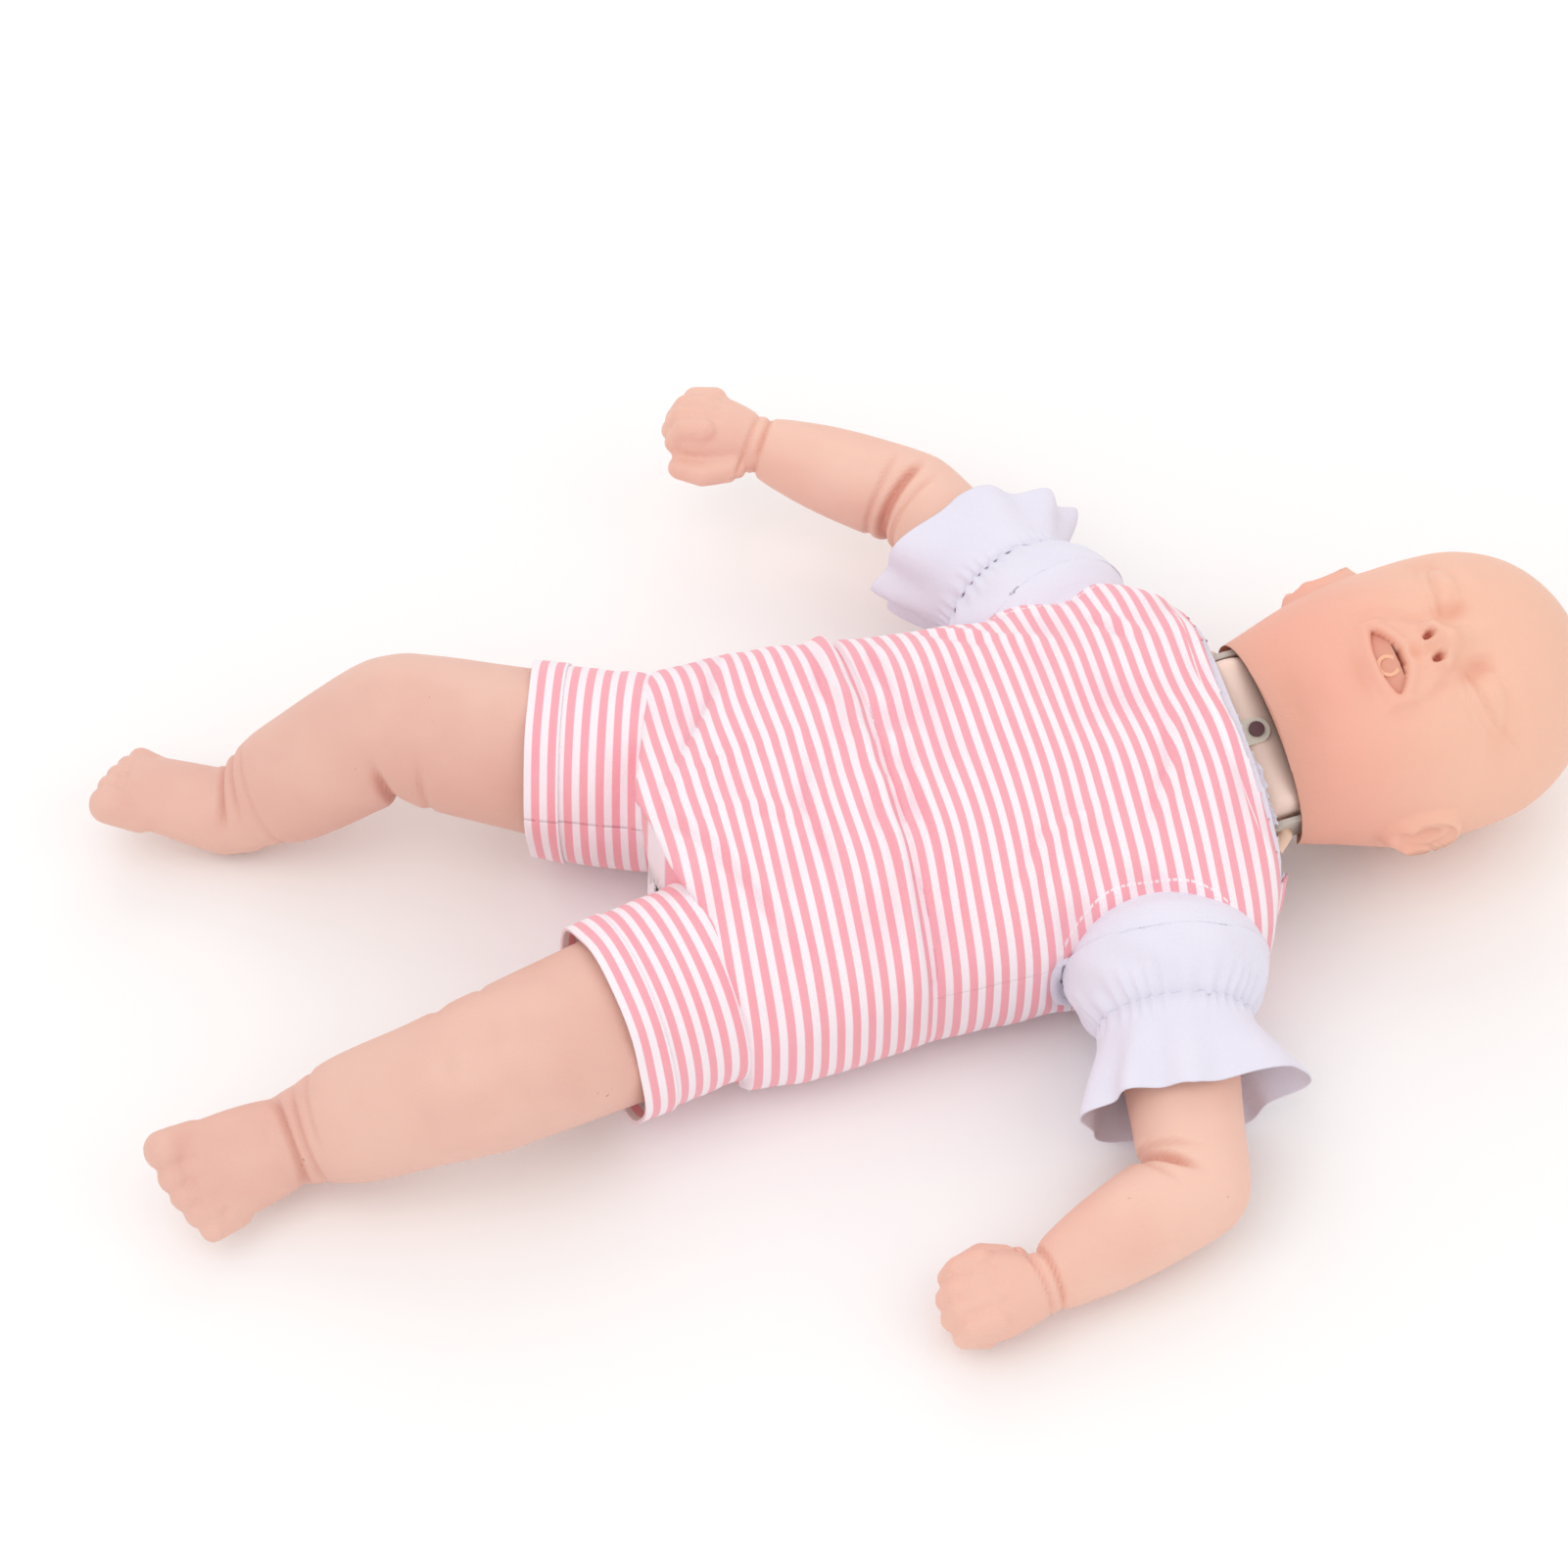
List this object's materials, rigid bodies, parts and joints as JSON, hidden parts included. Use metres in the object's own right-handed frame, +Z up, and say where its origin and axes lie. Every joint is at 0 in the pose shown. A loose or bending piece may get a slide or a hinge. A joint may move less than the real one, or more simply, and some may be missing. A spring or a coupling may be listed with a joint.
{
  "type": "cpr training manikin",
  "caption": "Infant resuscitation training manikin lying on its back in a striped romper and a white shirt, with a turning and tilting head, sprung chest and swivelling limbs.",
  "frame": {"origin": "on the floor under the waist, in the middle of the flat back", "axes": "+X towards the head, +Z up out of the chest, -Y towards the manikin's left hand"},
  "size_m": [0.6426, 0.5002, 0.1278],
  "materials": {
    "head_vinyl": "soft satin vinyl",
    "limb_vinyl": "soft satin vinyl",
    "romper_cotton": "woven cotton with pink and white stripes",
    "white_cotton": "plain woven cotton",
    "shell_plastic": "moulded, lightly textured",
    "chest_plastic": "moulded, smooth",
    "neck_plastic": "smooth moulded",
    "bracket_plastic": "moulded",
    "peg_vinyl": "moulded",
    "clear_strap": "clear flexible strip",
    "rivet_plastic": "smooth",
    "bag_film": "thin blown film",
    "bright_steel": "zinc plated",
    "nozzle_rubber": "soft moulded"
  },
  "bodies": {
    "torso": {"back_shell": "shell_plastic", "belly_shell": "shell_plastic", "shell_screws": "bright_steel", "click_dome": "bright_steel", "compression_spring": "bright_steel", "romper_seat": "romper_cotton", "shirt_back": "white_cotton", "shirt_collar": "white_cotton", "romper_bib": "romper_cotton", "shirt_front": "white_cotton"},
    "chest": {"chest_plate": "chest_plastic", "lung_bag": "bag_film"},
    "neck": {"neck_drum": "neck_plastic", "neck_washer": "chest_plastic", "hinge_pin_right": "peg_vinyl", "hinge_pin_left": "peg_vinyl", "retaining_strap": "clear_strap", "strap_rivet": "rivet_plastic"},
    "head": {"head_skin": "head_vinyl", "head_frame": "bracket_plastic", "mouth_nozzle": "nozzle_rubber", "airway_elbow": "nozzle_rubber"},
    "right_arm": {"arm_right": "limb_vinyl", "sleeve_right": "white_cotton", "sleeve_flounce_right": "white_cotton"},
    "right_leg": {"leg_right": "limb_vinyl", "romper_leg_right": "romper_cotton"},
    "left_arm": {"arm_left": "limb_vinyl", "sleeve_left": "white_cotton", "sleeve_flounce_left": "white_cotton"},
    "left_leg": {"leg_left": "limb_vinyl", "romper_leg_left": "romper_cotton"}
  },
  "joints": [
    {"name": "chest_compression", "type": "slide", "parent": "torso", "child": "chest", "axis": [0, 0, -1], "range_m": [0, 0.03], "stiffness_N_per_m": 2500, "deforming": ["compression_spring", "romper_bib", "shirt_front"]},
    {"name": "head_turn", "type": "hinge", "parent": "torso", "child": "neck", "pos_m": [0.18468, -0.00288, 0.06851], "axis": [0.993, 0.1184, 0], "range_deg": [-45, 12], "deforming": ["shirt_collar"]},
    {"name": "head_tilt", "type": "hinge", "parent": "neck", "child": "head", "pos_m": [0.18468, -0.00288, 0.06851], "axis": [-0.1132, 0.9496, 0.2924], "range_deg": [-8, 25]},
    {"name": "shoulder_right", "type": "hinge", "parent": "torso", "child": "right_arm", "pos_m": [0.122, 0.095, 0.05], "axis": [-0.3485, 0.9372, -0.014], "range_deg": [-12, 150]},
    {"name": "shoulder_left", "type": "hinge", "parent": "torso", "child": "left_arm", "pos_m": [0.122, -0.095, 0.05], "axis": [0.1375, 0.9662, 0.2181], "range_deg": [-5, 150]},
    {"name": "hip_right", "type": "hinge", "parent": "torso", "child": "right_leg", "pos_m": [-0.062, 0.057, 0.048], "axis": [-0.9611, 0.2756, -0.0192], "range_deg": [-30, 50]},
    {"name": "hip_left", "type": "hinge", "parent": "torso", "child": "left_leg", "pos_m": [-0.062, -0.057, 0.048], "axis": [0.9764, 0.2147, 0.0227], "range_deg": [-55, 25]}
  ]
}
